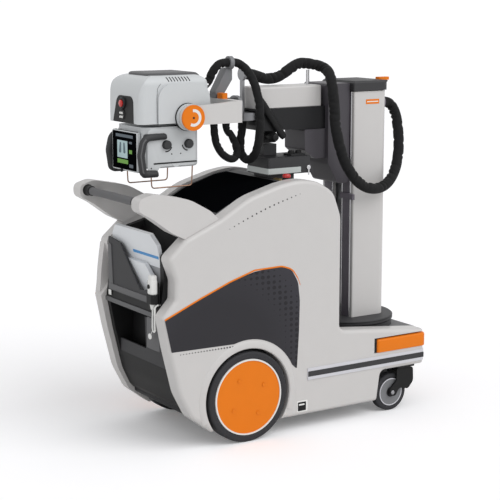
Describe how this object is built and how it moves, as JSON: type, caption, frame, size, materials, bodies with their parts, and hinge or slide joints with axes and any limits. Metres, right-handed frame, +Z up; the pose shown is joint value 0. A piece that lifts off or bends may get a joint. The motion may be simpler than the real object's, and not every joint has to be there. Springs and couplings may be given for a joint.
{
  "type": "mobile x-ray machine",
  "caption": "Mobile x-ray machine: wheeled body with drive wheels and casters, turning column, lifting telescopic arm, and a tube head that rolls and tilts in a yoke.",
  "frame": {"origin": "on the floor, under the middle of the machine's length and width", "axes": "+X forward, to the column and bumper; +Y to the operator's left hand; +Z up"},
  "size_m": [1.3285, 0.56, 1.439],
  "materials": {
    "white_paint": "satin",
    "dark_plastic": "satin",
    "grey_paint": "satin",
    "orange": "satin",
    "black_glass": "polished",
    "black_steel": "satin",
    "tyre": "matte",
    "column_dark": "satin",
    "bright_metal": "brushed",
    "hose_black": "matte",
    "detector_shell": "satin",
    "caster_grey": "satin",
    "red_button": "polished",
    "copper_wire": "polished",
    "light_plastic": "satin"
  },
  "bodies": {
    "chassis": {"base_frame": "black_steel", "power_unit": "black_steel", "side_panel_right": "white_paint", "side_panel_left": "white_paint", "handle_arm_right": "white_paint", "handle_arm_left": "white_paint", "drive_handle": "dark_plastic", "top_cover": "dark_plastic", "touch_display": "black_glass", "rear_housing": "grey_paint", "bin_fronts": "light_plastic", "detector_large": "detector_shell", "detector_small": "detector_shell", "switch_holder": "dark_plastic", "hand_switch": "light_plastic", "front_deck": "grey_paint", "bumper": "orange", "rub_strip": "dark_plastic", "axle_mounts": "black_steel", "turntable_base": "black_steel", "control_box": "light_plastic", "stop_button": "red_button", "switch_cord": "light_plastic"},
    "wheel_right": {"drive_tyre_right": "tyre", "drive_disc_right": "orange"},
    "wheel_left": {"drive_tyre_left": "tyre", "drive_disc_left": "orange"},
    "caster_right": {"caster_fork_right": "caster_grey"},
    "caster_left": {"caster_fork_left": "caster_grey"},
    "caster_roller_right": {"caster_wheel_right": "tyre"},
    "caster_roller_left": {"caster_wheel_left": "tyre"},
    "column": {"turntable": "grey_paint", "column": "white_paint", "column_trim": "column_dark"},
    "carriage": {"mast": "bright_metal", "mast_cap": "white_paint", "cap_lever": "orange", "carriage": "white_paint", "arm_beam": "column_dark", "arm_cover": "white_paint", "hose_post": "bright_metal", "dock_fittings": "dark_plastic", "hose_main": "hose_black"},
    "arm": {"arm_inner": "bright_metal", "hose_arm": "hose_black"},
    "yoke": {"yoke": "white_paint", "yoke_hub": "dark_plastic", "hose_bracket": "dark_plastic", "yoke_covers": "orange", "hose_wrap": "hose_black"},
    "head": {"tube_housing": "white_paint", "head_trim": "dark_plastic", "hose_head": "hose_black", "hose_loop": "hose_black"},
    "collimator": {"collimator": "white_paint", "head_screen": "black_glass", "collimator_knobs": "dark_plastic", "head_grips": "dark_plastic", "guard_wires": "copper_wire"}
  },
  "joints": [
    {"name": "wheel_spin_right", "type": "hinge", "parent": "chassis", "child": "wheel_right", "pos_m": [-0.207, -0.251, 0.175], "axis": [0, 1, 0], "continuous": true},
    {"name": "wheel_spin_left", "type": "hinge", "parent": "chassis", "child": "wheel_left", "pos_m": [-0.207, 0.251, 0.175], "axis": [0, 1, 0], "continuous": true},
    {"name": "caster_swivel_right", "type": "hinge", "parent": "chassis", "child": "caster_right", "pos_m": [0.564, -0.222, 0.172], "axis": [0, 0, 1], "continuous": true},
    {"name": "caster_swivel_left", "type": "hinge", "parent": "chassis", "child": "caster_left", "pos_m": [0.564, 0.222, 0.172], "axis": [0, 0, 1], "continuous": true},
    {"name": "caster_spin_right", "type": "hinge", "parent": "caster_right", "child": "caster_roller_right", "pos_m": [0.504, -0.222, 0.077], "axis": [0, 1, 0], "continuous": true},
    {"name": "caster_spin_left", "type": "hinge", "parent": "caster_left", "child": "caster_roller_left", "pos_m": [0.504, 0.222, 0.077], "axis": [0, 1, 0], "continuous": true},
    {"name": "column_turn", "type": "hinge", "parent": "chassis", "child": "column", "pos_m": [0.448, 0, 0.357], "axis": [0, 0, 1], "range_deg": [-170, 170]},
    {"name": "mast_lift", "type": "slide", "parent": "column", "child": "carriage", "axis": [0, 0, 1], "range_m": [0, 0.6], "deforming": ["hose_main"]},
    {"name": "arm_extend", "type": "slide", "parent": "carriage", "child": "arm", "axis": [-1, 0, 0], "range_m": [0, 0.3], "deforming": ["hose_arm"]},
    {"name": "yoke_roll", "type": "hinge", "parent": "arm", "child": "yoke", "pos_m": [-0.094, 0, 1.24], "axis": [1, 0, 0], "range_deg": [-90, 90], "deforming": ["hose_wrap"]},
    {"name": "head_tilt", "type": "hinge", "parent": "yoke", "child": "head", "pos_m": [-0.379, 0, 1.228], "axis": [0, 1, 0], "range_deg": [-15, 90], "deforming": ["hose_head", "hose_loop"]},
    {"name": "collimator_turn", "type": "hinge", "parent": "head", "child": "collimator", "pos_m": [-0.429, 0, 1.194], "axis": [0, 0, 1], "range_deg": [-90, 90]}
  ]
}
